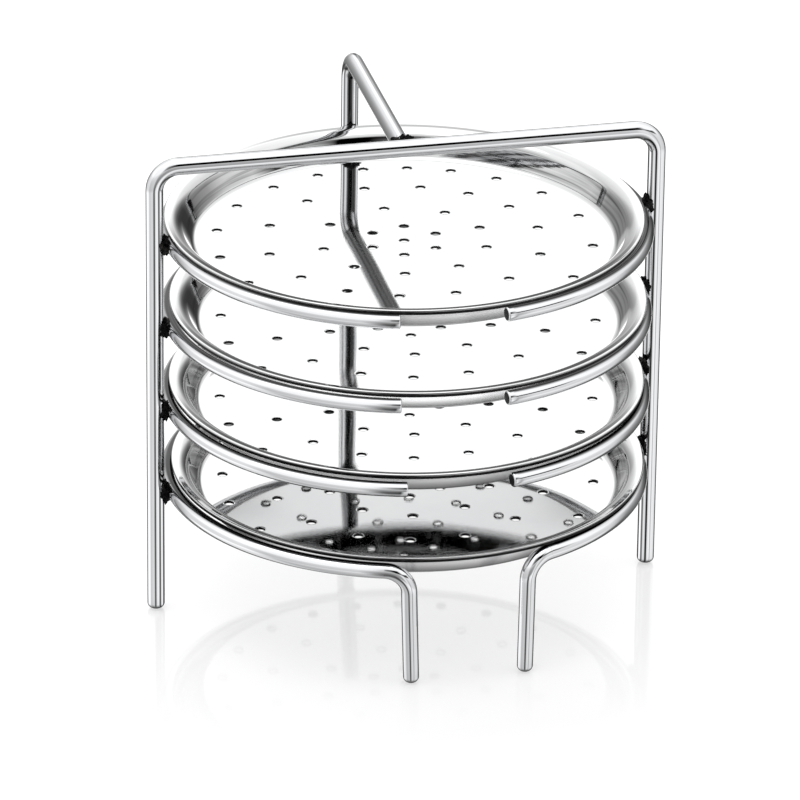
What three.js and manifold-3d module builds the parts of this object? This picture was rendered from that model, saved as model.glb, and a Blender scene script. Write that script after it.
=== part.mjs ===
// Idiyappam stand: a welded rod stand that carries four loose perforated plates.
// Sizes in millimetres, angles in degrees, +Z up, the open front towards -Y.

import * as THREE from "three";
import { mergeVertices } from "three/addons/utils/BufferGeometryUtils.js";
import Module from "manifold-3d";

// Rod and wire stock
const ROD_DIAMETER = 6;
const RING_WIRE_DIAMETER = 5;
const BASE_WIRE_DIAMETER = 5.5;
const BEND_RADIUS = 8;
const FIT_GAP = 0.3;

// Stand: the rings reach a little beyond the lip of the plates they carry
const RING_OVERHANG = 2.4;
const FIRST_TIER_HEIGHT = 43.8;
const TIER_PITCH = 30;
const TIER_COUNT = 4;
const BAR_RISE = 27.8;

// Where the arm of the back post meets the bar, measured along the bar from the stand's middle
const ARM_END_X = -1.6;

// Openings of the upper rings: middle angle of each, and half the angle left open
const OPENING_MIDDLES = [-90, -91.7, -92.2];
const OPENING_HALF_ANGLE = 13;

// Front legs: angle of the leg on the bottom ring, and how far its foot is set in from there
const LEFT_LEG = { angle: -102.2, footX: 2.8, footY: 6.2 };
const RIGHT_LEG = { angle: -72.5, footX: 0.6, footY: 4.3 };
const FOOT_TIP_HEIGHT = 1.2;
const FOOT_FLAT_SHARE = 0.6;

// Plates
const PLATE_RADIUS = 80.4;
const SHEET = 0.6;
const HEM_THICKNESS = 1.6;
const HEM_WIDTH = 2.4;
const HEM_CORNER = 0.3;
const LIP_FLAT = 1.2;
const SHOULDER_RADIUS = 5.5;
const WALL_ANGLE = 62;
const BASE_FILLET = 2.5;
const DISH_DEPTH = 9.3;

// How each loose plate lies on its ring, bottom plate first
const PLATE_LIES = [
  { turn: 3, x: 1.3, y: 0 },
  { turn: 5, x: 0.8, y: 1.3 },
  { turn: 4, x: 0.8, y: 0 },
  { turn: 0, x: -1.2, y: -1.2 },
];

// Hole pattern: a middle hole and rings of holes, each ring at a share of the flat base radius.
// The punching is uneven: the holes drift round the ring once and twice a turn.
const HOLE_DIAMETER = 3.2;
const HOLE_RINGS = [
  { share: 0.176, count: 6, phase: 17, once: [0, 0], twice: [0, 0] },
  { share: 0.403, count: 9, phase: 16, once: [6, 218], twice: [3.5, -40] },
  { share: 0.671, count: 14, phase: -2, once: [2.5, 259], twice: [5, 26] },
  { share: 0.91, count: 18, phase: 12, once: [14, 3], twice: [3, 30] },
];

// Weld beads: reach along the wire beyond the rod, rise above and below the wire, and half depth
const RING_WELD = { reach: 0.6, rise: 0.9, depth: 2.4, setOut: 0.45 };
const ARM_WELD = { reach: 1.7, rise: 0.9, depth: 3 };

// Facets
const ROD_SIDES = 12;
const WIRE_SIDES = 12;
const BEND_STEPS = 6;
const RING_STEPS = 44;
const PLATE_SEGMENTS = 40;
const SHOULDER_STEPS = 3;
const FILLET_STEPS = 2;
const HOLE_SIDES = 6;
const WELD_SEGMENTS = 10;
const WELD_RINGS = 6;
const FOOT_SIDES = 12;
const WELD_TOLERANCE = 1e-4;

// Derived sizes
const rodRadius = ROD_DIAMETER / 2;
const ringOuterRadius = PLATE_RADIUS + RING_OVERHANG;
const postRadius = ringOuterRadius + FIT_GAP + rodRadius;
const tierHeights = Array.from({ length: TIER_COUNT }, (_, k) => FIRST_TIER_HEIGHT + k * TIER_PITCH);
const barHeight = tierHeights[TIER_COUNT - 1] + BAR_RISE;
const wireDiameters = tierHeights.map((_, k) => (k === 0 ? BASE_WIRE_DIAMETER : RING_WIRE_DIAMETER));
const footTrim = ROD_DIAMETER;
const armLength = postRadius - rodRadius - FIT_GAP;
const armSwing = Math.atan2(ARM_END_X, armLength);

const wasm = await Module();
wasm.setup();

const rad = THREE.MathUtils.degToRad;
const vec = (x, y, z) => new THREE.Vector3(x, y, z);
const UP = vec(0, 0, 1);
const DOWN = vec(0, 0, -1);
const RIGHT = vec(1, 0, 0);
const FRONT = vec(0, -1, 0);

function solid(geometry) {
  const bare = geometry.clone();
  bare.deleteAttribute("normal");
  bare.deleteAttribute("uv");
  const merged = mergeVertices(bare, WELD_TOLERANCE);
  const index = merged.index.array;
  const faces = [];
  for (let i = 0; i < index.length; i += 3) {
    const [a, b, c] = [index[i], index[i + 1], index[i + 2]];
    if (a !== b && b !== c && c !== a) {
      faces.push(a, b, c);
    }
  }
  return new wasm.Manifold(
    new wasm.Mesh({
      numProp: 3,
      vertProperties: new Float32Array(merged.attributes.position.array),
      triVerts: new Uint32Array(faces),
    }),
  );
}

function geometryOf(body) {
  const mesh = body.getMesh();
  const geometry = new THREE.BufferGeometry();
  geometry.setAttribute("position", new THREE.BufferAttribute(new Float32Array(mesh.vertProperties), 3));
  geometry.setIndex(new THREE.BufferAttribute(new Uint32Array(mesh.triVerts), 1));
  geometry.computeVertexNormals();
  return geometry;
}

// A rod's centreline as hand-placed stations, each a point and a direction.
class StationPath extends THREE.Curve {
  constructor(stations) {
    super();
    this.stations = stations;
  }

  at(u) {
    return this.stations[Math.round(u * (this.stations.length - 1))];
  }

  getPointAt(u, target = vec(0, 0, 0)) {
    return target.copy(this.at(u).point);
  }

  getTangentAt(u, target = vec(0, 0, 0)) {
    return target.copy(this.at(u).tangent);
  }
}

function rod(stations, diameter, sides) {
  const section = new THREE.Shape();
  for (let i = 0; i < sides; i += 1) {
    const angle = (2 * Math.PI * i) / sides;
    const x = (diameter / 2) * Math.cos(angle);
    const y = (diameter / 2) * Math.sin(angle);
    if (i === 0) {
      section.moveTo(x, y);
    } else {
      section.lineTo(x, y);
    }
  }
  section.closePath();
  return new THREE.ExtrudeGeometry(section, {
    steps: stations.length - 1,
    extrudePath: new StationPath(stations),
    bevelEnabled: false,
  });
}

// Stations of a bend whose corner point lies between the directions into and out of it.
function bend(corner, into, outOf) {
  const angle = into.angleTo(outOf);
  const axis = into.clone().cross(outOf).normalize();
  const start = corner.clone().addScaledVector(into, -BEND_RADIUS * Math.tan(angle / 2));
  const centre = start.clone().addScaledVector(axis.clone().cross(into), BEND_RADIUS);
  const stations = [];
  for (let i = 0; i <= BEND_STEPS; i += 1) {
    const turn = (angle * i) / BEND_STEPS;
    stations.push({
      point: start.clone().sub(centre).applyAxisAngle(axis, turn).add(centre),
      tangent: into.clone().applyAxisAngle(axis, turn),
    });
  }
  return stations;
}

function ringStation(angle, radius, height) {
  return {
    point: vec(radius * Math.cos(rad(angle)), radius * Math.sin(rad(angle)), height),
    tangent: vec(-Math.sin(rad(angle)), Math.cos(rad(angle)), 0),
  };
}

function ringStations(startAngle, endAngle, radius, height) {
  const stations = [];
  for (let i = 0; i <= RING_STEPS; i += 1) {
    stations.push(ringStation(startAngle + ((endAngle - startAngle) * i) / RING_STEPS, radius, height));
  }
  return stations;
}

// Cuts a leg off level at the floor and tapers its last stretch to a small flat.
function withFoot(body, x, y, diameter) {
  const radius = diameter / 2;
  const flat = radius * FOOT_FLAT_SHARE;
  const slope = FOOT_TIP_HEIGHT / (radius - flat);
  const outer = 2 * radius;
  const profile = [
    new THREE.Vector2(0, -2 * footTrim),
    new THREE.Vector2(outer, -2 * footTrim),
    new THREE.Vector2(outer, (outer - flat) * slope),
    new THREE.Vector2(flat, 0),
    new THREE.Vector2(0, 0),
  ];
  const cutter = new THREE.LatheGeometry(profile, FOOT_SIDES);
  cutter.rotateX(Math.PI / 2);
  cutter.translate(x, y, 0);
  return body.subtract(solid(cutter));
}

function makeHandleFrame() {
  const stations = [
    { point: vec(-postRadius, 0, -footTrim), tangent: UP },
    ...bend(vec(-postRadius, 0, barHeight), UP, RIGHT),
    ...bend(vec(postRadius, 0, barHeight), RIGHT, DOWN),
    { point: vec(postRadius, 0, -footTrim), tangent: DOWN },
  ];
  const body = solid(rod(stations, ROD_DIAMETER, ROD_SIDES));
  return withFoot(withFoot(body, -postRadius, 0, ROD_DIAMETER), postRadius, 0, ROD_DIAMETER);
}

function makeBackPost() {
  const forwards = FRONT.clone().applyAxisAngle(UP, armSwing);
  const stations = [
    { point: vec(0, postRadius, -footTrim), tangent: UP },
    ...bend(vec(0, postRadius, barHeight), UP, forwards),
    { point: vec(ARM_END_X, rodRadius + FIT_GAP, barHeight), tangent: forwards },
  ];
  return withFoot(solid(rod(stations, ROD_DIAMETER, ROD_SIDES)), 0, postRadius, ROD_DIAMETER);
}

function makeBaseRing() {
  const radius = ringOuterRadius - BASE_WIRE_DIAMETER / 2;
  const height = tierHeights[0];
  const bendAngle = THREE.MathUtils.radToDeg(Math.atan(BEND_RADIUS / radius));
  const startAngle = RIGHT_LEG.angle + bendAngle;
  const endAngle = 360 + LEFT_LEG.angle - bendAngle;
  const arc = ringStations(startAngle, endAngle, radius, height);
  const first = arc[0];
  const last = arc[RING_STEPS];

  const rightCorner = first.point.clone().addScaledVector(first.tangent, -BEND_RADIUS);
  const rightFoot = vec(rightCorner.x + RIGHT_LEG.footX, rightCorner.y + RIGHT_LEG.footY, 0);
  const rise = rightCorner.clone().sub(rightFoot).normalize();
  const leftCorner = last.point.clone().addScaledVector(last.tangent, BEND_RADIUS);
  const leftFoot = vec(leftCorner.x + LEFT_LEG.footX, leftCorner.y + LEFT_LEG.footY, 0);
  const fall = leftFoot.clone().sub(leftCorner).normalize();

  const stations = [
    { point: rightFoot.clone().addScaledVector(rise, -footTrim), tangent: rise },
    ...bend(rightCorner, rise, first.tangent),
    ...arc.slice(1, RING_STEPS),
    ...bend(leftCorner, last.tangent, fall),
    { point: leftFoot.clone().addScaledVector(fall, footTrim), tangent: fall },
  ];
  const body = solid(rod(stations, BASE_WIRE_DIAMETER, WIRE_SIDES));
  const rightCut = withFoot(body, rightFoot.x, rightFoot.y, BASE_WIRE_DIAMETER);
  return withFoot(rightCut, leftFoot.x, leftFoot.y, BASE_WIRE_DIAMETER);
}

function makeTierRing(tier) {
  const radius = ringOuterRadius - RING_WIRE_DIAMETER / 2;
  const middle = OPENING_MIDDLES[tier - 1];
  const startAngle = middle + OPENING_HALF_ANGLE;
  const endAngle = 360 + middle - OPENING_HALF_ANGLE;
  const stations = ringStations(startAngle, endAngle, radius, tierHeights[tier]);
  return solid(rod(stations, RING_WIRE_DIAMETER, WIRE_SIDES));
}

// Dish section from the axis outwards along the upper face and back along the underside,
// with the underside of the hemmed lip at height zero.
function plateSection() {
  const lipTop = HEM_THICKNESS;
  const shoulderR = PLATE_RADIUS - LIP_FLAT;
  const shoulderZ = lipTop - SHOULDER_RADIUS;
  const filletZ = lipTop - DISH_DEPTH + BASE_FILLET;
  const wall = rad(WALL_ANGLE);
  const wallTopR = shoulderR - SHOULDER_RADIUS * Math.sin(wall);
  const wallTopZ = shoulderZ + SHOULDER_RADIUS * Math.cos(wall);
  const wallFootZ = filletZ - BASE_FILLET * Math.cos(wall);
  const wallFootR = wallTopR - (wallTopZ - wallFootZ) / Math.tan(wall);
  const flatRadius = wallFootR - BASE_FILLET * Math.sin(wall);

  const underShoulder = SHOULDER_RADIUS - SHEET;
  const underFillet = BASE_FILLET + SHEET;
  const hemInner = PLATE_RADIUS - HEM_WIDTH;
  const hemTurn = Math.asin((shoulderR - hemInner) / underShoulder);
  const points = [];
  const add = (r, z) => points.push(new THREE.Vector2(r, z));
  const fillet = (radius, turn) => {
    add(flatRadius + radius * Math.sin(turn), filletZ - radius * Math.cos(turn));
  };
  const shoulder = (radius, turn) => {
    add(shoulderR - radius * Math.sin(turn), shoulderZ + radius * Math.cos(turn));
  };

  add(0, filletZ - underFillet);
  for (let i = 0; i <= FILLET_STEPS; i += 1) {
    fillet(underFillet, (wall * i) / FILLET_STEPS);
  }
  for (let i = 0; i < SHOULDER_STEPS; i += 1) {
    shoulder(underShoulder, wall + ((hemTurn - wall) * i) / (SHOULDER_STEPS - 1));
  }
  add(hemInner, 0);
  add(PLATE_RADIUS - HEM_CORNER, 0);
  add(PLATE_RADIUS, HEM_CORNER);
  add(PLATE_RADIUS, lipTop - HEM_CORNER);
  add(PLATE_RADIUS - HEM_CORNER, lipTop);
  for (let i = 0; i <= SHOULDER_STEPS; i += 1) {
    shoulder(SHOULDER_RADIUS, (wall * i) / SHOULDER_STEPS);
  }
  for (let i = FILLET_STEPS; i >= 0; i -= 1) {
    fillet(BASE_FILLET, (wall * i) / FILLET_STEPS);
  }
  add(0, filletZ - BASE_FILLET);
  return { points, flatRadius, baseZ: filletZ - BASE_FILLET };
}

function makePlate() {
  const section = plateSection();
  const dish = new THREE.LatheGeometry(section.points, PLATE_SEGMENTS);
  dish.rotateX(Math.PI / 2);
  let body = solid(dish);
  const punch = (x, y) => {
    const hole = new THREE.CylinderGeometry(HOLE_DIAMETER / 2, HOLE_DIAMETER / 2, 4 * SHEET, HOLE_SIDES);
    hole.rotateX(Math.PI / 2);
    hole.translate(x, y, section.baseZ - SHEET / 2);
    body = body.subtract(solid(hole));
  };
  punch(0, 0);
  for (const ring of HOLE_RINGS) {
    const radius = ring.share * section.flatRadius;
    for (let i = 0; i < ring.count; i += 1) {
      const even = ring.phase + (360 * i) / ring.count;
      const once = ring.once[0] * Math.cos(rad(even - ring.once[1]));
      const twice = ring.twice[0] * Math.cos(rad(2 * even - ring.twice[1]));
      const angle = rad(even + once + twice);
      punch(radius * Math.cos(angle), radius * Math.sin(angle));
    }
  }
  return geometryOf(body);
}

// A cutter that clears a round rod of the given diameter along Z.
function rodClearance(diameter, length) {
  const radius = (diameter / 2 + FIT_GAP) / Math.cos(Math.PI / ROD_SIDES);
  const cutter = new THREE.CylinderGeometry(radius, radius, length, ROD_SIDES);
  cutter.rotateX(Math.PI / 2);
  return cutter;
}

function bead(along, across, up) {
  const blob = new THREE.SphereGeometry(1, WELD_SEGMENTS, WELD_RINGS);
  blob.rotateX(Math.PI / 2);
  blob.scale(along, across, up);
  return blob;
}

// Bead between a ring and a post, made at the back post and turned to its own post.
function makeRingWeld(tier, angle) {
  const wire = wireDiameters[tier];
  const length = 4 * ROD_DIAMETER;
  const blob = bead(rodRadius + RING_WELD.reach, RING_WELD.depth, wire / 2 + RING_WELD.rise);
  blob.translate(0, ringOuterRadius + RING_WELD.setOut, 0);
  const wireCut = rodClearance(wire, length);
  wireCut.rotateY(Math.PI / 2);
  wireCut.translate(0, ringOuterRadius - wire / 2, 0);
  const postCut = rodClearance(ROD_DIAMETER, length);
  postCut.translate(0, postRadius, 0);
  const geometry = geometryOf(solid(blob).subtract(solid(wireCut)).subtract(solid(postCut)));
  geometry.rotateZ(rad(angle - 90));
  geometry.translate(0, 0, tierHeights[tier]);
  return geometry;
}

function makeArmWeld() {
  const length = 4 * ROD_DIAMETER;
  const blob = bead(rodRadius + ARM_WELD.reach, ARM_WELD.depth, rodRadius + ARM_WELD.rise);
  blob.translate(ARM_END_X, rodRadius, 0);
  const barCut = rodClearance(ROD_DIAMETER, length);
  barCut.rotateY(Math.PI / 2);
  const armCut = rodClearance(ROD_DIAMETER, length);
  armCut.rotateX(Math.PI / 2);
  armCut.translate(0, length / 2, 0);
  armCut.rotateZ(armSwing);
  armCut.translate(ARM_END_X, rodRadius, 0);
  const geometry = geometryOf(solid(blob).subtract(solid(barCut)).subtract(solid(armCut)));
  geometry.translate(0, 0, barHeight);
  return geometry;
}

const stand = new THREE.Group();
stand.name = "idiyappam_stand";

function place(name, geometry, look) {
  const mesh = new THREE.Mesh(geometry, new THREE.MeshStandardMaterial(look));
  mesh.name = name;
  stand.add(mesh);
}

const POLISHED_ROD = { color: 0xc4c7cb, roughness: 0.1, metalness: 1 };
const POLISHED_SHEET = { color: 0xd4d6d9, roughness: 0.08, metalness: 1 };
const BURNT_WELD = { color: 0x4a4440, roughness: 0.5, metalness: 0.8 };

place("handle_frame", geometryOf(makeHandleFrame()), POLISHED_ROD);
place("back_post", geometryOf(makeBackPost()), POLISHED_ROD);
place("base_ring", geometryOf(makeBaseRing()), POLISHED_ROD);
for (let tier = 1; tier < TIER_COUNT; tier += 1) {
  place(`tier_ring_${tier + 1}`, geometryOf(makeTierRing(tier)), POLISHED_ROD);
}

const plate = makePlate();
for (let tier = 0; tier < TIER_COUNT; tier += 1) {
  const lie = PLATE_LIES[tier];
  const geometry = plate.clone();
  geometry.rotateZ(rad(lie.turn));
  geometry.translate(lie.x, lie.y, tierHeights[tier] + wireDiameters[tier] / 2 + FIT_GAP);
  place(`plate_${tier + 1}`, geometry, POLISHED_SHEET);
}

const POSTS = { left: 180, back: 90, right: 0 };
for (let tier = 0; tier < TIER_COUNT; tier += 1) {
  for (const [side, angle] of Object.entries(POSTS)) {
    place(`weld_${tier + 1}_${side}`, makeRingWeld(tier, angle), BURNT_WELD);
  }
}
place("weld_arm_bar", makeArmWeld(), BURNT_WELD);

// The middle of the footprint, on the floor, is the origin.
const middle = new THREE.Box3().setFromObject(stand).getCenter(vec(0, 0, 0));
for (const mesh of stand.children) {
  mesh.geometry.translate(-middle.x, -middle.y, 0);
}

export default stand;
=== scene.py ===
"""Idiyappam stand: polished rod stand with four loose perforated plates, in a white studio."""

import math

import bmesh
import bpy
from mathutils import Matrix, Vector, noise
from mathutils.geometry import delaunay_2d_cdt


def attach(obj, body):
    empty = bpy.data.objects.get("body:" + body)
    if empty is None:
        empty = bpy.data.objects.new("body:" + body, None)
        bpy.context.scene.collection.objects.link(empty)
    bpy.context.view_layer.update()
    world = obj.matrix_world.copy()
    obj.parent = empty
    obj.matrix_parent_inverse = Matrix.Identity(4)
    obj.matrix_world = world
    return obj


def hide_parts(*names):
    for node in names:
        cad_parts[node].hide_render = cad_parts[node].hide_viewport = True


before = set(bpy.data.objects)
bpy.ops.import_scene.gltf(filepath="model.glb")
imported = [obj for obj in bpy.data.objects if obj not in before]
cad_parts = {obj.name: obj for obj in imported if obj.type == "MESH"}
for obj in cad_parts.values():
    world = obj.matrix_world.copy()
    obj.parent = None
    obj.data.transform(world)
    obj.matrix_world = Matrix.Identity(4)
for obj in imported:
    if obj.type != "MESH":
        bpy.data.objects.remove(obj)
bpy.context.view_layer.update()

MM = 0.001
UP = Vector((0, 0, 1))
# From the stand's own axis to the middle of its footprint, in millimetres
SHIFT = Vector((0, -3.75, 0))

# Stand, in millimetres about its own axis: radii of the rods and wires, their bends, and where they run
ROD_R = 3.0
RING_R = 2.5
BASE_R = 2.75
BEND = 8.0
RING_OUT = 82.8
POST = 86.1
TIERS = [43.8, 73.8, 103.8, 133.8]
WIRE_R = [BASE_R, RING_R, RING_R, RING_R]
BAR_Z = 161.6
POST_ANGLES = {"left": 180.0, "back": 90.0, "right": 0.0}
# Arm: where it meets the bar, and how far it is let into it
ARM_END_X = -1.6
ARM_BITE = 0.6
# Middles of the upper rings' openings, and half their width, in degrees
OPENINGS = [-90.0, -91.7, -92.2]
OPEN_HALF = 13.0
# Front legs: the angle of each on the bottom ring and its toe's lean in x and y, then the toes' height
LEGS = {"left": (-102.2, 2.8, 6.2), "right": (-72.5, 0.6, 4.3)}
LEAN_LIFT = 0.15
# From the back post to the open front
FRONT_WAY = Vector((-0.19, -0.982, 0))
# Length of a foot's rounded tip, the height of its darkened end (painted shade), and the angle that shows as
# an edge
FOOT_TIP = 2.4
FOOT_SHADE_TOP = 1.1
SHARP_ROD = math.radians(50)
# Fineness of the rods: sides, steps of a tip, the rings and a bend, a straight's usual step, and the
# distance at which two stations are one
ROD_SIDES = 40
TIP_STEPS = 9
BASE_STEPS = 150
RING_STEPS = 170
BEND_STEPS = 14
STRAIGHT_STEP = 4.0
SAME_STATION = 1e-3
UV_PER_METRE = 10

# Welds: reach of the heat colours and how broken their edge is, a bead's half-sizes along the ring, across
# it and past the wire, its place beyond the ring's edge, and the arm's bead
HEAT_REACH = 9.0
HEAT_BREAK = 0.5
BEAD_ALONG = 3.2
BEAD_ACROSS = 2.2
BEAD_OVER_WIRE = 0.9
BEAD_OUT = 0.3
ARM_BEAD = (4.0, 2.0, 3.5)
ARM_BEAD_X = 0.4
# Surface of a bead: fineness of its mesh, and the size and noise of its lumps and grain
BEAD_SUBDIVISIONS = 5
LUMP = 0.36
LUMP_SCALE = 1.6
LUMP_FRACTAL = (0.7, 2.2, 4)
LUMP_SEED = (7.3, 3.1)
GRAIN = 0.10
GRAIN_SCALE = 7.0
GRAIN_SEED = 5.7
# Room between a bead and the lip next to it, and between a lip and its ring
LIP_CLEAR = 0.15
FIT_GAP = 0.3

# Plates: sheet, hem, lip, shoulder, wall and base
PLATE_R = 80.4
SHEET = 0.6
HEM = 1.6
HEM_WIDTH = 2.4
HEM_ROUND = 0.3
HEM_BEVEL = 0.25
LIP_FLAT = 1.2
LIP_TILT = math.radians(8)
LIP_EDGE = 0.65
LIP_ROUND = 0.35
EDGE_ROUND = 0.12
GROOVE = 0.25
GROOVE_DROP = 0.05
SHOULDER = 5.5
WALL = math.radians(62)
FILLET = 2.5
DEPTH = 9.3
BASE_MARGIN = 0.5
SHARP_PLATE = math.radians(32)
# Fineness of the plates: steps round them, round a hole, and along the fillet, the shoulder and its underside
SEGMENTS = 240
HOLE_SIDES = 22
FILLET_STEPS = 12
SHOULDER_STEPS = 28
UNDER_STEPS = 16
# How each plate lies on its ring: turn in degrees, and shift in x and y
LIES = [(3, 1.3, 0.0), (5, 0.8, 1.3), (4, 0.8, 0.0), (0, -1.2, -1.2)]
# Holes: radius and burr, then each ring's share of the base's radius, number of holes and phase, and its
# drift once and twice a turn, as size and angle
HOLE_R = 1.6
BURR = 0.35
HOLE_RINGS = [
    (0.176, 6, 17, (0, 0), (0, 0)),
    (0.403, 9, 16, (6, 218), (3.5, -40)),
    (0.671, 14, -2, (2.5, 259), (5, 26)),
    (0.91, 18, 12, (14, 3), (3, 30)),
]
# Edge of a hole from above to below: reach beyond its radius, and depth below the base
HOLE_EDGE = (
    (0.3, 0.0), (0.17, 0.04), (0.06, 0.13), (0.0, 0.26),
    (0.0, SHEET + BURR), (0.1, SHEET + BURR), (0.22, SHEET),
)
SHEARED_STEPS = range(3, 7)
# Room left for that edge in the flats above and below, the share of it that counts as inside the hole, and
# the distance at which two points of a flat are one
HOLE_ROOM_ABOVE = 0.6
HOLE_ROOM_BELOW = 0.45
INSIDE_SHARE = 0.98
SAME_POINT = 1e-6
# Steel of the plates: colours and roughness of the polished face, the satin outside and the underside
POLISHED = ((0.63, 0.635, 0.64), (0.66, 0.66, 0.66))
POLISHED_FINISH = (0.02, 0.05, 0.1)
SATIN = ((0.90, 0.90, 0.905), (0.95, 0.95, 0.95))
SATIN_FINISH = (0.18, 0.24, 0.3)
UNDERSIDE = ((0.64, 0.645, 0.65), (0.67, 0.67, 0.67))
UNDERSIDE_FINISH = (0.04, 0.07, 0.1)
# The underside's belly, the walls' painted shade low down, the film outside, and the walls' streaks
BELLY = 1.75
WALL_SHADE_DEPTH = (0.7, 0.7, 0.0, 0.0)
FILM = (0.0, 0.6, 0.0, 0.0)
STREAK_SCALE = (14.0, 14.0, 620.0)
# The plates mirror the posts but not the tiers above the second, as in the photo
MIRRORED_TIERS = (0, 1)

# Camera: turn about the stand, dip and tilt, place in millimetres, and lens
YAW = math.radians(-13.57)
PITCH = math.radians(24.47)
ROLL = math.radians(0.69)
CAMERA_PLACE = Vector((-495.0, -2047.55, 1026.4))
SENSOR = 36.0
FOCAL_PIXELS = 6825
PICTURE_PIXELS = 800
FAR_CLIP = 50

# Studio, in metres: the table's half-size, tone, roughness and glow, where its gloss starts and is full, the
# surround's brightness, and the soft light
TABLE_HALF = 6.0
TABLE_TONE = 0.3
TABLE_ROUGHNESS = 0.05
TABLE_GLOW = 0.62
GLOSS_FROM = -0.115
GLOSS_FULL = -0.02
GLOSS = 0.5
SURROUND = 1.65
SOFTBOX_SIZE = (1.6, 1.2)
SOFTBOX_WATTS = 6.0
SOFTBOX_PLACE = (-0.3, 0.1, 1.7)


def add_object(name, mesh):
    obj = bpy.data.objects.new(name, mesh)
    bpy.context.scene.collection.objects.link(obj)
    return obj


def polar(radius, degrees, z):
    a = math.radians(degrees)
    return Vector((radius * math.cos(a), radius * math.sin(a), z))


def circle(count):
    """Cosine and sine of even steps round a full turn."""
    turns = [2 * math.pi * i / count for i in range(count)]
    return [(math.cos(a), math.sin(a)) for a in turns]


def band(first, second):
    """Quads between two closed loops of as many points."""
    count = len(first)
    steps = [(i, (i + 1) % count) for i in range(count)]
    return [(first[i], first[j], second[j], second[i]) for i, j in steps]


# Rods: a centreline as stations, each a point and a direction


def straight(a, b):
    way = b - a
    count = max(1, round(way.length / STRAIGHT_STEP))
    return [(a + way * (i / count), way.normalized()) for i in range(count + 1)]


def bend(corner, into, out_of):
    angle = into.angle(out_of)
    axis = into.cross(out_of).normalized()
    start = corner - into * (BEND * math.tan(angle / 2))
    centre = start + axis.cross(into) * BEND
    stations = []
    for i in range(BEND_STEPS + 1):
        turn = Matrix.Rotation(angle * i / BEND_STEPS, 3, axis)
        stations.append((centre + turn @ (start - centre), turn @ into))
    return stations


def arc(first, last, radius, z, steps):
    stations = []
    for i in range(steps + 1):
        a = first + (last - first) * i / steps
        tangent = Vector((-math.sin(math.radians(a)), math.cos(math.radians(a)), 0))
        stations.append((polar(radius, a, z), tangent))
    return stations


def joined(*runs):
    stations = []
    for run in runs:
        for point, tangent in run:
            if not stations or (point - stations[-1][0]).length > SAME_STATION:
                stations.append((point, tangent))
    return stations


# Ends of the rods as reach past the end and share of the radius: rounded feet and chamfered cuts
TIP_TURNS = [math.pi / 2 * i / TIP_STEPS for i in range(1, TIP_STEPS - 1)]
BULLET = [(math.sin(t) * FOOT_TIP, math.cos(t)) for t in TIP_TURNS]
CHAMFER = [(0.14, 0.985), (0.28, 0.955), (0.42, 0.91), (0.52, 0.85), (0.56, 0.8)]
FOOT_REACH = BULLET[-1][0]


def tube(name, stations, radius, caps, cut_ends=False):
    """Round rod along the stations; caps are the profiles of its two ends, which may be left as cut."""
    first_cap, last_cap = caps
    point, tangent = stations[0]
    rows = [(point - tangent * reach, tangent, share) for reach, share in reversed(first_cap)]
    rows += [(p, t, 1.0) for p, t in stations]
    point, tangent = stations[-1]
    rows += [(point + tangent * reach, tangent, share) for reach, share in last_cap]

    bm = bmesh.new()
    uv = bm.loops.layers.uv.new("UVMap")
    side = rows[0][1].orthogonal().normalized()
    before, previous = rows[0][:2]
    run = 0.0
    rings = []
    lengths = []
    for point, tangent, share in rows:
        side = previous.rotation_difference(tangent) @ side
        side = (side - tangent * side.dot(tangent)).normalized()
        other = tangent.cross(side)
        run += (point - before).length
        lengths.append(run * MM * UV_PER_METRE)
        before, previous = point, tangent
        ring = []
        for c, s in circle(ROD_SIDES):
            offset = (side * c + other * s) * (radius * share)
            ring.append(bm.verts.new((point + offset + SHIFT) * MM))
        rings.append(ring)
    for k in range(len(rings) - 1):
        for i, quad in enumerate(band(rings[k], rings[k + 1])):
            spans = [(k, i), (k, i + 1), (k + 1, i + 1), (k + 1, i)]
            for loop, (along, around) in zip(bm.faces.new(quad).loops, spans):
                loop[uv].uv = (lengths[along], around / ROD_SIDES)
    for ring, length in ((rings[0][::-1], lengths[0]), (rings[-1], lengths[-1])):
        face = bm.faces.new(ring)
        face.material_index = 1 if cut_ends else 0
        for loop in face.loops:
            loop[uv].uv = (length, 0.5)
    bmesh.ops.recalc_face_normals(bm, faces=bm.faces)
    mesh = bpy.data.meshes.new(name)
    bm.to_mesh(mesh)
    bm.free()
    mesh.shade_smooth()
    mesh.set_sharp_from_angle(angle=SHARP_ROD)
    return add_object(name, mesh)


def mark(obj, name, value_at):
    """Point attribute whose value is worked out from each vertex, and never less than 0."""
    layer = obj.data.attributes.new(name, "FLOAT", "POINT")
    for vertex in obj.data.vertices:
        layer.data[vertex.index].value = max(0.0, value_at(vertex))


def mark_heat(obj, spots):
    """How much each point of a rod was heated by the nearest weld, up to 1."""
    def warmth(vertex):
        here = vertex.co / MM - SHIFT
        return max(1 - (here - spot).length / HEAT_REACH for spot in spots)

    mark(obj, "heat", warmth)


def mark_inside(obj):
    """How squarely each point of the carrying frame faces the inside of its arch, sideways and downwards: the
    masks of its painted shade and painted reflection bands.
    """
    def sideways(vertex):
        return -vertex.normal.x if vertex.co.x > 0 else vertex.normal.x

    def downwards(vertex):
        return -vertex.normal.z if vertex.co.z > (BAR_Z - BEND) * MM else 0.0

    mark(obj, "inside", sideways)
    mark(obj, "beneath", downwards)


def mark_hook(obj, corner, way):
    """How squarely each point of the back post faces the front, and each point of the arm faces down: the
    mask of their painted shade and painted reflection bands.

    The arm runs the given way from the corner.
    """
    middle = corner + (way - UP) * BEND

    def inside(vertex):
        here = vertex.co / MM - SHIFT - middle
        turn = math.atan2(max(0.0, here.dot(UP)), max(0.0, -here.dot(way)))
        return vertex.normal.dot(FRONT_WAY * math.cos(turn) - UP * math.sin(turn))

    mark(obj, "inside", inside)


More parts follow.
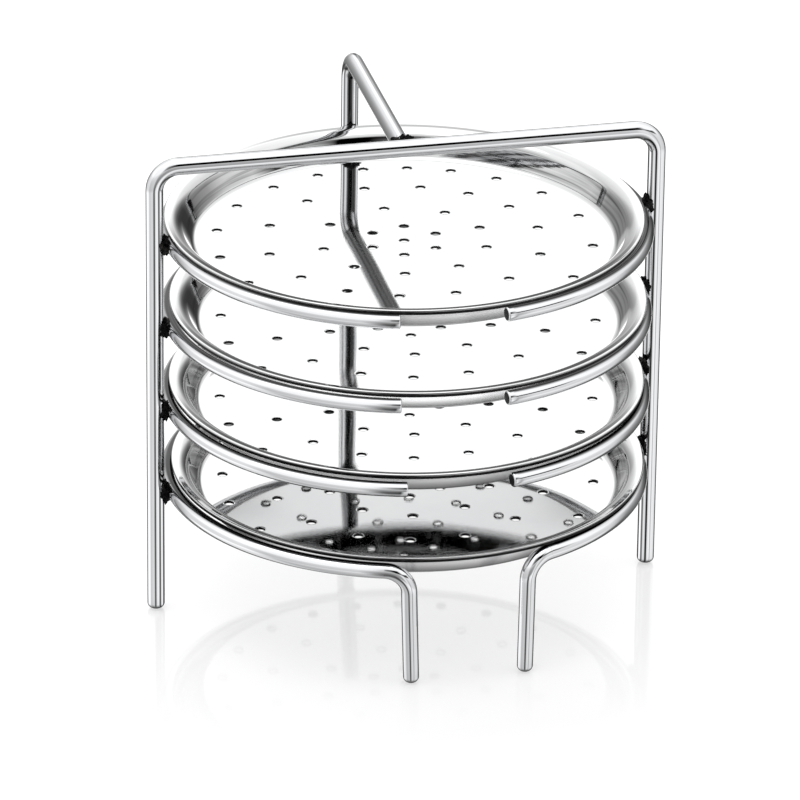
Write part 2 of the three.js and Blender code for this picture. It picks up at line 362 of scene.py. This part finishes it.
def mark_crevice(obj, middle):
    """How squarely each point of a ring, whose wire is at the height middle, faces the lip above it: the mask
    of the painted shade under the lip.
    """
    def facing_lip(vertex):
        return vertex.normal.z if vertex.co.z > middle * MM else 0.0

    mark(obj, "crevice", facing_lip)


# Materials


def nodes_of(name):
    material = bpy.data.materials.new(name)
    material.use_nodes = True
    tree = material.node_tree
    return material, tree, tree.nodes["Principled BSDF"]


def link(tree, a, b):
    tree.links.new(a, b)


def feed(tree, sockets, values):
    """Give each socket another node's output or a value of its own."""
    for socket, value in zip(sockets, values):
        if isinstance(value, bpy.types.NodeSocket):
            link(tree, value, socket)
        else:
            socket.default_value = value


def node(tree, kind, **values):
    """New node; the values are its own properties or, by name, its inputs."""
    made = tree.nodes.new(kind)
    for key, value in values.items():
        if hasattr(made, key):
            setattr(made, key, value)
        else:
            feed(tree, [made.inputs[key]], [value])
    return made


def maths(tree, operation, *operands):
    """Result of a sum on numbers and other nodes' outputs."""
    made = node(tree, "ShaderNodeMath", operation=operation)
    feed(tree, made.inputs, operands)
    return made.outputs["Value"]


def vectors(tree, operation, *operands):
    """Result of a sum on vectors or colours and other nodes' outputs."""
    made = node(tree, "ShaderNodeVectorMath", operation=operation)
    feed(tree, made.inputs, operands)
    return made.outputs["Vector"]


def product(tree, first, second):
    return vectors(tree, "MULTIPLY", first, second)


def ramp(tree, source, stops):
    """Colour ramp over source, with (position, colour) stops."""
    made = tree.nodes.new("ShaderNodeValToRGB")
    elements = made.color_ramp.elements
    elements[0].position = stops[0][0]
    elements[1].position = stops[-1][0]
    for position, _ in stops[1:-1]:
        elements.new(position)
    for element, (_, colour) in zip(elements, stops):
        element.color = (*colour, 1)
    link(tree, source, made.inputs["Fac"])
    return made.outputs["Color"]


def shades(tree, source, stops):
    """Ramp of greys over source, with (position, value) stops."""
    return ramp(tree, source, [(position, (value, value, value)) for position, value in stops])


def attribute(tree, name):
    return node(tree, "ShaderNodeAttribute", attribute_name=name).outputs["Fac"]


def noisy(tree, **values):
    return node(tree, "ShaderNodeTexNoise", **values).outputs["Fac"]


def relief(tree, height, strength, distance, base=None):
    """Bump of the given height, over the base normal if there is one."""
    made = node(tree, "ShaderNodeBump", Strength=strength, Distance=distance, Height=height)
    if base:
        link(tree, base, made.inputs["Normal"])
    return made.outputs["Normal"]


def axis_of(tree, vector, axis):
    """One of the parts, X, Y or Z, of a vector."""
    return node(tree, "ShaderNodeSeparateXYZ", Vector=vector).outputs[axis]


def steel_rod():
    material, tree, shader = nodes_of("polished_rod")
    coords = node(tree, "ShaderNodeTexCoord")
    place = coords.outputs["Object"]
    cloud = noisy(tree, Vector=place, Scale=140.0, Detail=4.0, Roughness=0.6)
    stretch = node(tree, "ShaderNodeMapping", Scale=(1.5, 60.0, 1.0), Vector=coords.outputs["UV"])
    lines = noisy(tree, Vector=stretch.outputs["Vector"], Scale=1.0, Detail=3.0, Roughness=0.55)

    # Heat colours near the welds, with a broken edge
    heat = maths(tree, "MULTIPLY_ADD", cloud, HEAT_BREAK, attribute(tree, "heat"))
    colour = ramp(tree, heat, [
        (0.42, (0.62, 0.625, 0.635)),
        (0.56, (0.52, 0.47, 0.40)),
        (0.68, (0.24, 0.19, 0.17)),
        (0.80, (0.07, 0.07, 0.085)),
        (1.0, (0.02, 0.02, 0.02)),
    ])
    # Painted shade and painted reflection bands: the insides of the carrying frame's arch and of the back
    # post's hook are darkened, in light and dark bands along the posts and the arm, and plainly under the bar
    painted_reflection_bands = shades(tree, attribute(tree, "inside"), [
        (0.10, 1.0), (0.20, 1.0), (0.26, 0.12), (0.36, 0.1), (0.44, 0.9), (0.56, 1.3), (0.64, 0.8),
        (0.71, 0.1), (0.78, 0.3), (0.88, 1.3), (0.93, 0.8), (0.97, 0.08), (1.0, 0.05),
    ])
    painted_shade_under_bar = shades(tree, attribute(tree, "beneath"), [
        (0.10, 1.0), (0.35, 0.5), (0.65, 0.38), (0.88, 0.16), (1.0, 0.22),
    ])
    colour = product(tree, colour, product(tree, painted_reflection_bands, painted_shade_under_bar))
    # Painted shade: the rings are darkened in the crevice under each lip
    painted_lip_shade = shades(tree, attribute(tree, "crevice"), [(0.82, 1.0), (0.90, 0.4), (0.95, 0.06), (0.98, 0.015)])
    colour = product(tree, colour, painted_lip_shade)
    # Painted shade: the feet are darkened at their ends, where they stand on the table
    above = node(tree, "ShaderNodeMapRange", Value=axis_of(tree, place, "Z"))
    above.inputs["From Max"].default_value = FOOT_SHADE_TOP * 2 * MM
    painted_foot_shade = shades(tree, above.outputs["Result"], [(0.3, 0.03), (0.5, 0.12), (1.0, 1.0)])
    link(tree, product(tree, colour, painted_foot_shade), shader.inputs["Base Color"])

    rough = shades(tree, cloud, [(0.3, 0.035), (0.62, 0.06), (0.8, 0.11)])
    burnt = shades(tree, heat, [(0.5, 0.0), (0.85, 0.35)])
    link(tree, maths(tree, "ADD", rough, burnt), shader.inputs["Roughness"])
    link(tree, relief(tree, lines, strength=0.05, distance=0.0002), shader.inputs["Normal"])
    shader.inputs["Metallic"].default_value = 1.0
    return material


def steel_sheet(name, centre, tones, finish, belly=0.0, film=0.0):
    """Sheet steel about the plate's centre; tones and finish are the ends of its colour and roughness.

    belly is how fast the sheet's slope grows with the radius, per metre; film is the share of dull scale.
    """
    material, tree, shader = nodes_of(name)
    coords = node(tree, "ShaderNodeTexCoord")
    about = vectors(tree, "SUBTRACT", coords.outputs["Object"], centre)
    flat = vectors(tree, "MULTIPLY", about, (1, 1, 0))
    radius = node(tree, "ShaderNodeVectorMath", operation="LENGTH")
    link(tree, flat, radius.inputs[0])

    # Concentric polishing marks, cloudy wipe marks and the pressing's slow waves
    marks = noisy(tree, noise_dimensions="1D", W=radius.outputs["Value"], Scale=2600.0, Detail=2.0)
    cloud = noisy(tree, Vector=about, Scale=45.0, Detail=5.0, Roughness=0.6)
    wave = noisy(tree, Vector=about, Scale=28.0, Detail=0.0)

    colour = ramp(tree, cloud, [(0.3, tones[0]), (0.7, tones[1])])
    # Painted shade: the wall is darkened by its slope, most low down, and streaked round the dish
    steep = attribute(tree, "steep")
    painted_wall_shade = shades(tree, steep, [(0.06, 1.0), (0.2, 0.85), (0.45, 0.78), (0.54, 0.78), (0.9, 0.28)])
    long = vectors(tree, "MULTIPLY", about, STREAK_SCALE)
    streaks = noisy(tree, Vector=long, Scale=1.0, Detail=2.0, Roughness=0.6)
    streaked = node(
        tree, "ShaderNodeMixRGB", Color1=(1, 1, 1, 1),
        Fac=shades(tree, steep, [(0.25, 0.0), (0.45, 1.0)]),
        Color2=shades(tree, streaks, [(0.34, 0.3), (0.47, 0.8), (0.56, 1.0)]),
    )
    colour = product(tree, colour, product(tree, painted_wall_shade, streaked.outputs["Color"]))
    # Painted shade: outside, the wall darkens down to the edge of the base
    painted_outside_shade = shades(tree, attribute(tree, "depth"), [(0.45, 1.0), (0.65, 0.6), (0.85, 0.3), (0.97, 0.12)])
    link(tree, product(tree, colour, painted_outside_shade), shader.inputs["Base Color"])
    rough = shades(tree, cloud, list(zip((0.35, 0.65, 0.85), finish)))
    link(tree, rough, shader.inputs["Roughness"])

    lean = None
    if belly:
        slope = node(tree, "ShaderNodeVectorMath", operation="SCALE", Scale=belly)
        link(tree, flat, slope.inputs[0])
        facing = node(tree, "ShaderNodeNewGeometry").outputs["Normal"]
        lean = vectors(tree, "NORMALIZE", vectors(tree, "ADD", facing, slope.outputs["Vector"]))
    slow = relief(tree, wave, strength=0.12, distance=0.001, base=lean)
    fine = relief(tree, marks, strength=0.02, distance=0.0001, base=slow)
    link(tree, fine, shader.inputs["Normal"])
    shader.inputs["Metallic"].default_value = 1.0 - film
    return material


def burnt_weld():
    material, tree, shader = nodes_of("burnt_weld")
    place = node(tree, "ShaderNodeTexCoord").outputs["Object"]
    scale = noisy(tree, Vector=place, Scale=420.0, Detail=6.0, Roughness=0.65)
    patches = noisy(tree, Vector=place, Scale=170.0, Detail=3.0)
    colour = ramp(tree, patches, [
        (0.30, (0.002, 0.002, 0.002)),
        (0.56, (0.008, 0.008, 0.008)),
        (0.66, (0.03, 0.028, 0.027)),
        (0.72, (0.40, 0.39, 0.385)),
    ])
    link(tree, colour, shader.inputs["Base Color"])
    link(tree, shades(tree, scale, [(0.3, 0.5), (0.7, 0.18)]), shader.inputs["Roughness"])
    link(tree, relief(tree, scale, strength=0.6, distance=0.0006), shader.inputs["Normal"])
    shader.inputs["Metallic"].default_value = 1.0
    return material


def sheared_edge_and_shade():
    """Dull sheared metal, darkened to near-black with painted shade, of the hole walls, the rings' cut ends
    and the fold under the lip.
    """
    material, tree, shader = nodes_of("sheared_edge_and_shade")
    place = node(tree, "ShaderNodeTexCoord").outputs["Object"]
    grain = noisy(tree, Vector=place, Scale=900.0, Detail=4.0, Roughness=0.6)
    link(tree, shades(tree, grain, [(0.3, 0.005), (0.7, 0.03)]), shader.inputs["Base Color"])
    link(tree, shades(tree, grain, [(0.3, 0.4), (0.7, 0.65)]), shader.inputs["Roughness"])
    link(tree, relief(tree, grain, strength=0.3, distance=0.0002), shader.inputs["Normal"])
    shader.inputs["Metallic"].default_value = 1.0
    return material


rod_material = steel_rod()
weld_material = burnt_weld()
edge_and_shade_material = sheared_edge_and_shade()

# Weld spots, which tint the rods around them
spots = []
for tier_z in TIERS:
    for angle in POST_ANGLES.values():
        spots.append(polar(RING_OUT, angle, tier_z))
spots.append(Vector((ARM_END_X, ROD_R, BAR_Z)))


def rod_piece(name, stations, radius, caps, cut_ends=False, seat=BAR_Z * 2):
    """Rod with its marks; seat is the height of a ring's wire, or well above the stand for the other rods."""
    obj = tube(name, stations, radius, caps, cut_ends)
    mark_heat(obj, spots)
    mark_crevice(obj, seat)
    obj.data.materials.append(rod_material)
    if cut_ends:
        obj.data.materials.append(edge_and_shade_material)
    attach(obj, "stand")
    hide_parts(name.removesuffix("_smooth"))
    return obj


# Carrying frame: left leg, bar and right leg
left_foot = Vector((-POST, 0, FOOT_REACH))
right_foot = Vector((POST, 0, FOOT_REACH))
left_turn = bend(Vector((-POST, 0, BAR_Z)), UP, Vector((1, 0, 0)))
right_turn = bend(Vector((POST, 0, BAR_Z)), Vector((1, 0, 0)), -UP)
mark_inside(rod_piece("handle_frame_smooth", joined(
    straight(left_foot, left_turn[0][0]),
    left_turn,
    straight(left_turn[-1][0], right_turn[0][0]),
    right_turn,
    straight(right_turn[-1][0], right_foot),
), ROD_R, (BULLET, BULLET)))

# Back post with its arm
back_foot = Vector((0, POST, FOOT_REACH))
back_corner = Vector((0, POST, BAR_Z))
arm_end = Vector((ARM_END_X, ROD_R - ARM_BITE, BAR_Z))
arm_way = (arm_end - back_corner).normalized()
back_turn = bend(back_corner, UP, arm_way)
mark_hook(rod_piece("back_post_smooth", joined(
    straight(back_foot, back_turn[0][0]),
    back_turn,
    straight(back_turn[-1][0], arm_end),
), ROD_R, (BULLET, [])), back_corner, arm_way)


def toe(corner, side):
    """End of a front leg, which leans from its corner on the ring."""
    _, lean_x, lean_y = LEGS[side]
    return Vector((corner.x + lean_x, corner.y + lean_y, LEAN_LIFT))


# Bottom ring, whose ends are the front legs
base_radius = RING_OUT - BASE_R
lead = math.degrees(math.atan(BEND / base_radius))
base_arc = arc(LEGS["right"][0] + lead, 360 + LEGS["left"][0] - lead, base_radius, TIERS[0], BASE_STEPS)
first_point, first_way = base_arc[0]
last_point, last_way = base_arc[-1]
right_corner = first_point - first_way * BEND
right_toe = toe(right_corner, "right")
left_corner = last_point + last_way * BEND
left_toe = toe(left_corner, "left")
rise = (right_corner - right_toe).normalized()
fall = (left_toe - left_corner).normalized()
right_bend = bend(right_corner, rise, first_way)
left_bend = bend(left_corner, last_way, fall)
rod_piece("base_ring_smooth", joined(
    straight(right_toe + rise * FOOT_REACH, right_bend[0][0]),
    right_bend,
    base_arc,
    left_bend,
    straight(left_bend[-1][0], left_toe - fall * FOOT_REACH),
), BASE_R, (BULLET, BULLET), seat=TIERS[0])

# Upper rings, open at the front
for tier, middle in enumerate(OPENINGS, start=1):
    ring = rod_piece(f"tier_ring_{tier + 1}_smooth", arc(
        middle + OPEN_HALF, 360 + middle - OPEN_HALF, RING_OUT - RING_R, TIERS[tier], RING_STEPS,
    ), RING_R, (CHAMFER, CHAMFER), cut_ends=True, seat=TIERS[tier])
    ring.visible_glossy = tier in MIRRORED_TIERS


# Welds: lumpy beads


def weld_piece(name, centre, turn, size, seed, lip=None):
    """Bead about centre; lip is the middle of the underside of the plate's lip that it keeps clear of."""
    bm = bmesh.new()
    bmesh.ops.create_icosphere(bm, subdivisions=BEAD_SUBDIVISIONS, radius=1.0)
    rotation = Matrix.Rotation(math.radians(turn), 3, "Z")
    for vertex in bm.verts:
        way = vertex.co.normalized()
        lump_place = way * LUMP_SCALE + Vector((seed * LUMP_SEED[0], seed * LUMP_SEED[1], 0))
        lump = noise.fractal(lump_place, *LUMP_FRACTAL)
        grain = noise.noise(way * GRAIN_SCALE + Vector((0, seed * GRAIN_SEED, 1.0)))
        spread = 1.0 + LUMP * lump + GRAIN * grain
        shaped = Vector((way.x * size[0], way.y * size[1], way.z * size[2])) * spread
        spot = centre + rotation @ shaped
        if lip and spot.z > lip.z - LIP_CLEAR:
            out = Vector((spot.x - lip.x, spot.y - lip.y, 0))
            spot += out.normalized() * max(0.0, PLATE_R + LIP_CLEAR - out.length)
        vertex.co = (spot + SHIFT) * MM
    mesh = bpy.data.meshes.new(name)
    bm.to_mesh(mesh)
    bm.free()
    mesh.shade_smooth()
    obj = add_object(name, mesh)
    mesh.materials.append(weld_material)
    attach(obj, "stand")
    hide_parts(name.removesuffix("_bead"))
    return obj


def lip_middle(tier):
    """Middle of the underside of a plate's lip, as the plate lies on its ring."""
    _, x, y = LIES[tier]
    return Vector((x, y, TIERS[tier] + WIRE_R[tier] + FIT_GAP))


seed = 1
for tier, tier_z in enumerate(TIERS):
    for post_name, angle in POST_ANGLES.items():
        weld_piece(
            f"weld_{tier + 1}_{post_name}_bead",
            polar(RING_OUT + BEAD_OUT, angle, tier_z),
            angle - 90,
            (BEAD_ALONG, BEAD_ACROSS, WIRE_R[tier] + BEAD_OVER_WIRE),
            seed,
            lip_middle(tier),
        )
        seed += 1
weld_piece("weld_arm_bar_bead", Vector((ARM_END_X + ARM_BEAD_X, ROD_R, BAR_Z)), 0, ARM_BEAD, seed)


# Plates


def hole_places(flat_radius):
    places = [Vector((0, 0))]
    for share, count, phase, once, twice in HOLE_RINGS:
        for i in range(count):
            even = phase + 360 * i / count
            drift = once[0] * math.cos(math.radians(even - once[1]))
            drift += twice[0] * math.cos(math.radians(2 * even - twice[1]))
            a = math.radians(even + drift)
            places.append(Vector((math.cos(a), math.sin(a))) * (share * flat_radius))
    return places


def plate_profile():
    """Points (r, z) of the dish from the flat base outwards over the lip and back underneath."""
    shoulder_r = PLATE_R - LIP_FLAT
    shoulder_z = HEM - SHOULDER
    fillet_z = HEM - DEPTH + FILLET
    wall_top = (shoulder_r - SHOULDER * math.sin(WALL), shoulder_z + SHOULDER * math.cos(WALL))
    wall_foot_z = fillet_z - FILLET * math.cos(WALL)
    wall_foot_r = wall_top[0] - (wall_top[1] - wall_foot_z) / math.tan(WALL)
    flat_r = wall_foot_r - FILLET * math.sin(WALL)
    under_shoulder = SHOULDER - SHEET
    under_fillet = FILLET + SHEET
    hem_inner = PLATE_R - HEM_WIDTH
    hem_turn = math.asin((shoulder_r - hem_inner) / under_shoulder)

    def fillet(radius, turn):
        return (flat_r + radius * math.sin(turn), fillet_z - radius * math.cos(turn))

    def shoulder(radius, turn):
        return (shoulder_r - radius * math.sin(turn), shoulder_z + radius * math.cos(turn))

    def corner(r, z, radius, first, last, steps):
        """Round corner about (r, z), from the angle first to the angle last."""
        turns = [math.radians(first + (last - first) * i / steps) for i in range(steps + 1)]
        return [(r + radius * math.cos(t), z + radius * math.sin(t)) for t in turns]

    points = [(flat_r - BASE_MARGIN, fillet_z - FILLET)]
    points += [fillet(FILLET, WALL * i / FILLET_STEPS) for i in range(FILLET_STEPS + 1)]
    for i in range(SHOULDER_STEPS + 1):
        points.append(shoulder(SHOULDER, WALL + (LIP_TILT - WALL) * i / SHOULDER_STEPS))
    flange_r, flange_z = points[-1]
    lip_r = PLATE_R - LIP_ROUND
    lip_z = flange_z + (lip_r - flange_r) * math.tan(LIP_TILT)
    points.append(((flange_r + lip_r) / 2, (flange_z + lip_z) / 2))
    points += corner(lip_r, lip_z - LIP_ROUND, LIP_ROUND, first=86, last=0, steps=8)
    edge_z = lip_z - LIP_EDGE
    fold_start = len(points) + 1
    points += corner(PLATE_R - EDGE_ROUND, edge_z + EDGE_ROUND, EDGE_ROUND, first=0, last=-90, steps=4)
    points.append((PLATE_R - GROOVE, edge_z - GROOVE_DROP))
    points += corner(PLATE_R - GROOVE - HEM_ROUND, HEM_ROUND, HEM_ROUND, first=0, last=-90, steps=5)
    points.append((hem_inner + HEM_ROUND, 0))
    points.append((hem_inner, HEM_BEVEL))
    fold_end = len(points) - 1
    for i in range(UNDER_STEPS + 1):
        points.append(shoulder(under_shoulder, hem_turn + (WALL - hem_turn) * i / UNDER_STEPS))
    points += [fillet(under_fillet, WALL * (1 - i / FILLET_STEPS)) for i in range(FILLET_STEPS + 1)]
    points.append((flat_r - BASE_MARGIN, fillet_z - under_fillet))
    return points, flat_r, fold_start, fold_end


# Materials of a plate's faces, in their order on the mesh
FACE, EDGE, OUTSIDE, BELOW = range(4)


class Sheet:
    """Points and faces of a plate while it is built."""

    def __init__(self, turn, origin):
        self.turn = Matrix.Rotation(math.radians(turn), 3, "Z")
        self.origin = origin
        self.verts = []
        self.faces = []
        self.kinds = []

    def put(self, x, y, z):
        """Add a point, given about the plate's middle, and return its number."""
        self.verts.append((self.turn @ Vector((x, y, z)) + self.origin) * MM)
        return len(self.verts) - 1

    def add(self, faces, kind):
        self.faces += faces
        self.kinds += [kind] * len(faces)


def dish_rings(sheet, points, fold_start, fold_end):
    """Loops of points along the profile, with the faces between them."""
    rings = [[sheet.put(r * c, r * s, z) for c, s in circle(SEGMENTS)] for r, z in points]
    for k, (first, second) in enumerate(zip(rings, rings[1:])):
        kind = FACE if k < fold_start else EDGE if k < fold_end else OUTSIDE
        sheet.add(band(first, second), kind)
    return rings


def flat_base(sheet, outer, rim, z, holes, hole_r, upward):
    """Flat of the base inside the loop outer, whose radius is rim; returns the loops round its holes."""
    flat_points = [Vector((rim * c, rim * s)) for c, s in circle(SEGMENTS)]
    edges = [(i, (i + 1) % SEGMENTS) for i in range(SEGMENTS)]
    ids = list(outer)
    hole_loops = []
    for centre in holes:
        start = len(flat_points)
        spots = [centre + Vector(way) * hole_r for way in circle(HOLE_SIDES)]
        hole_loops.append([sheet.put(*spot, z) for spot in spots])
        flat_points += spots
        edges += [(start + i, start + (i + 1) % HOLE_SIDES) for i in range(HOLE_SIDES)]
        ids += hole_loops[-1]
    cut_points, _, cut_faces, sources, *_ = delaunay_2d_cdt(flat_points, edges, [], 0, SAME_POINT)
    faces = []
    for face in cut_faces:
        middle = sum((cut_points[i] for i in face), Vector((0, 0))) / len(face)
        in_hole = any((middle - centre).length < hole_r * INSIDE_SHARE for centre in holes)
        if in_hole or middle.length > rim:
            continue
        loop = [ids[sources[i][0]] for i in face]
        faces.append(loop if upward else loop[::-1])
    sheet.add(faces, FACE if upward else BELOW)
    return hole_loops


def hole_edge(sheet, centre, top_z, above, below):
    """Rounded, sheared and burred edge of a hole, between its loops in the flats above and below."""
    levels = [above]
    for reach, drop in HOLE_EDGE:
        spots = [centre + Vector(way) * (HOLE_R + reach) for way in circle(HOLE_SIDES)]
        levels.append([sheet.put(*spot, top_z - drop) for spot in spots])
    levels.append(below)
    for step, (upper, lower) in enumerate(zip(levels, levels[1:])):
        sheet.add(band(upper, lower), EDGE if step in SHEARED_STEPS else FACE)


def mark_dish(mesh, points, rings, fold_start, fold_end, wall_shade_depth):
    """How steep each point of the dish is, counted more low down, and how deep each point outside it: the
    masks of the painted shade on the walls.
    """
    layer = mesh.attributes.new("steep", "FLOAT", "POINT")
    for (_, z), ring in zip(points[:fold_start], rings):
        low = z / points[0][1]
        for index in ring:
            tilt = 1 - max(0.0, mesh.vertices[index].normal.z)
            layer.data[index].value = tilt * (1 + wall_shade_depth * low)
    layer = mesh.attributes.new("depth", "FLOAT", "POINT")
    for (_, z), ring in zip(points[fold_end:-1], rings[fold_end:]):
        for index in ring:
            layer.data[index].value = max(0.0, z / points[-1][1])


def plate_piece(tier):
    origin = lip_middle(tier) + SHIFT
    sheet = Sheet(LIES[tier][0], origin)
    points, flat_r, fold_start, fold_end = plate_profile()
    rings = dish_rings(sheet, points, fold_start, fold_end)
    holes = hole_places(flat_r)
    rim, top_z = points[0]
    under_z = points[-1][1]
    above = flat_base(sheet, rings[0], rim, top_z, holes, HOLE_R + HOLE_ROOM_ABOVE, True)
    below = flat_base(sheet, rings[-1], rim, under_z, holes, HOLE_R + HOLE_ROOM_BELOW, False)
    for centre, upper, lower in zip(holes, above, below):
        hole_edge(sheet, centre, top_z, upper, lower)

    name = f"plate_{tier + 1}_dish"
    mesh = bpy.data.meshes.new(name)
    mesh.from_pydata(sheet.verts, [], sheet.faces)
    mesh.polygons.foreach_set("material_index", sheet.kinds)
    bm = bmesh.new()
    bm.from_mesh(mesh)
    bmesh.ops.recalc_face_normals(bm, faces=bm.faces)
    bm.to_mesh(mesh)
    bm.free()
    mesh.shade_smooth()
    mesh.set_sharp_from_angle(angle=SHARP_PLATE)
    mesh.validate()
    mark_dish(mesh, points, rings, fold_start, fold_end, WALL_SHADE_DEPTH[tier])
    obj = add_object(name, mesh)
    middle = origin * MM
    for material in (
        steel_sheet(f"polished_sheet_{tier + 1}", middle, POLISHED, POLISHED_FINISH),
        edge_and_shade_material,
        steel_sheet(f"satin_outside_{tier + 1}", middle, SATIN, SATIN_FINISH, film=FILM[tier]),
        steel_sheet(f"polished_underside_{tier + 1}", middle, UNDERSIDE, UNDERSIDE_FINISH, BELLY),
    ):
        mesh.materials.append(material)
    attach(obj, f"plate_{tier + 1}")
    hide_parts(f"plate_{tier + 1}")
    return obj


for tier in range(len(TIERS)):
    plate_piece(tier).visible_glossy = tier in MIRRORED_TIERS


# Camera, at the photo's place
back = Vector((math.sin(YAW) * math.cos(PITCH), -math.cos(YAW) * math.cos(PITCH), math.sin(PITCH)))
right = (-back).cross(UP).normalized()
above = right.cross(-back)
turned_right = right * math.cos(ROLL) + above * math.sin(ROLL)
turned_up = above * math.cos(ROLL) - right * math.sin(ROLL)
pose = Matrix((turned_right, turned_up, back)).transposed().to_4x4()
pose.translation = CAMERA_PLACE * MM
camera_data = bpy.data.cameras.new("camera")
camera_data.sensor_width = SENSOR
camera_data.lens = FOCAL_PIXELS / PICTURE_PIXELS * SENSOR
camera_data.clip_end = FAR_CLIP
camera = bpy.data.objects.new("camera", camera_data)
camera.matrix_world = pose
bpy.context.scene.collection.objects.link(camera)
bpy.context.scene.camera = camera


# Studio: white glossy table, white surround with a dark gap at the horizon
def make_floor():
    bm = bmesh.new()
    bmesh.ops.create_grid(bm, x_segments=8, y_segments=8, size=TABLE_HALF)
    mesh = bpy.data.meshes.new("floor")
    bm.to_mesh(mesh)
    bm.free()
    floor = add_object("floor", mesh)
    material, tree, shader = nodes_of("white_table")
    shader.inputs["Base Color"].default_value = (TABLE_TONE, TABLE_TONE, TABLE_TONE, 1)
    shader.inputs["Roughness"].default_value = TABLE_ROUGHNESS
    place = node(tree, "ShaderNodeTexCoord").outputs["Object"]
    fade = node(tree, "ShaderNodeMapRange", Value=axis_of(tree, place, "Y"))
    fade.inputs["From Min"].default_value = GLOSS_FROM
    fade.inputs["From Max"].default_value = GLOSS_FULL
    fade.inputs["To Max"].default_value = GLOSS
    link(tree, fade.outputs["Result"], shader.inputs["Specular IOR Level"])
    shader.inputs["Emission Color"].default_value = (1, 1, 1, 1)
    shader.inputs["Emission Strength"].default_value = TABLE_GLOW
    mesh.materials.append(material)
    floor.visible_glossy = False


def make_world():
    world = bpy.data.worlds.new("studio")
    bpy.context.scene.world = world
    world.use_nodes = True
    tree = world.node_tree
    backdrop = tree.nodes["Background"]
    way = node(tree, "ShaderNodeTexCoord").outputs["Generated"]

    def share_of(angle, limit):
        """An angle between -limit and limit degrees, as 0 to 1."""
        share = node(tree, "ShaderNodeMapRange", Value=angle)
        share.inputs["From Min"].default_value = -math.radians(limit)
        share.inputs["From Max"].default_value = math.radians(limit)
        return share.outputs["Result"]

    # Height above the horizon, and direction round the table from the photo's camera
    height = share_of(maths(tree, "ARCSINE", axis_of(tree, way, "Z")), 90)
    swing = node(tree, "ShaderNodeVectorRotate", rotation_type="Z_AXIS", Angle=-YAW, Vector=way)
    turned = node(tree, "ShaderNodeSeparateXYZ", Vector=swing.outputs["Vector"])
    forward = maths(tree, "MULTIPLY", turned.outputs["Y"], -1)
    turn = share_of(maths(tree, "ARCTAN2", turned.outputs["X"], forward), 180)

    def by_height(*stops):
        """Greys by height, with (degrees, value) stops."""
        return shades(tree, height, [((degrees + 90) / 180, value) for degrees, value in stops])

    def by_turn(*stops):
        """Greys by direction, with (degrees, value) stops."""
        return shades(tree, turn, [((degrees + 180) / 360, value) for degrees, value in stops])

    def dimmed(colour, amount, extent):
        """colour, darkened by amount where extent is 1."""
        kept = maths(tree, "SUBTRACT", 1.0, maths(tree, "MULTIPLY", amount, extent))
        return maths(tree, "MULTIPLY", colour, kept)

    # Upright seams between the panels round the table, faint high up
    panels = by_turn(
        (-180, 1.0), (-168, 0.9), (-160, 0.12), (-128, 0.10), (-114, 1.0), (-78, 0.95), (-64, 0.55),
        (-20, 0.70), (-10, 0.12), (4, 0.05), (12, 0.70), (40, 0.95), (50, 0.30), (60, 0.85),
        (108, 0.75), (122, 0.12), (160, 0.06), (168, 0.9), (180, 1.0),
    )
    low = by_height(
        (-80, 0.3), (-50, 1.0), (-24, 1.0), (-13, 0.8), (0, 0.67),
        (11, 0.47), (19, 0.3), (50, 0.15), (70, 0.0),
    )
    tone = dimmed(1.0, maths(tree, "SUBTRACT", 1.0, panels), low)
    # Gap between the table and the white surround: deep at the sides, shallow in front
    gap = by_height((-21, 0.0), (-16, 0.95), (1, 0.96), (8, 0.9), (14, 0.7), (18, 0.4), (22, 0.0))
    gap_share = by_turn(
        (-176, 0.0), (-172, 0.75), (-163, 0.35), (-110, 0.35), (-70, 0.25), (4, 0.25), (10, 0.65), (25, 0.65),
        (31, 0.25), (110, 0.25), (136, 0.5), (150, 0.92), (163, 0.92), (172, 0.75), (176, 0.0),
    )
    tone = dimmed(tone, gap, gap_share)
    # Straight behind the stand the table runs further back, below a fainter seam
    back_gap = by_height(
        (-13, 0.0), (-10, 0.95), (14, 0.95), (18, 0.8), (21.5, 0.0),
        (33, 0.0), (36, 0.5), (44, 0.5), (47, 0.0),
    )
    tone = dimmed(tone, back_gap, by_turn((-176, 0.95), (-172, 0.0), (172, 0.0), (176, 0.95)))
    # Dark seam of the surround in front, above the camera's own height
    seam = by_height((16, 0.0), (21, 1.0), (44, 1.0), (48, 0.0))
    tone = dimmed(tone, seam, by_turn((-14, 0.0), (-4, 0.7), (20, 1.0), (38, 1.0), (54, 0.0)))
    # The seam dips to the side
    side_seam = by_height((13, 0.0), (17, 1.0), (26, 1.0), (29, 0.0))
    tone = dimmed(tone, side_seam, by_turn((38, 0.0), (50, 0.95), (76, 0.95), (90, 0.0)))
    # The table darkens straight below, where the stand shades it
    shade = by_height((-90, 0.3), (-76, 0.4), (-57, 0.65), (-38, 0.8), (-28, 1.0))
    link(tree, maths(tree, "MULTIPLY", tone, shade), backdrop.inputs["Color"])
    backdrop.inputs["Strength"].default_value = SURROUND


make_floor()
make_world()

softbox = bpy.data.lights.new("softbox", "AREA")
softbox.shape = "RECTANGLE"
softbox.size, softbox.size_y = SOFTBOX_SIZE
softbox.energy = SOFTBOX_WATTS
softbox_obj = bpy.data.objects.new("softbox", softbox)
softbox_obj.location = SOFTBOX_PLACE
bpy.context.scene.collection.objects.link(softbox_obj)

bpy.context.scene.view_settings.view_transform = "Standard"
bpy.context.scene.view_settings.look = "None"
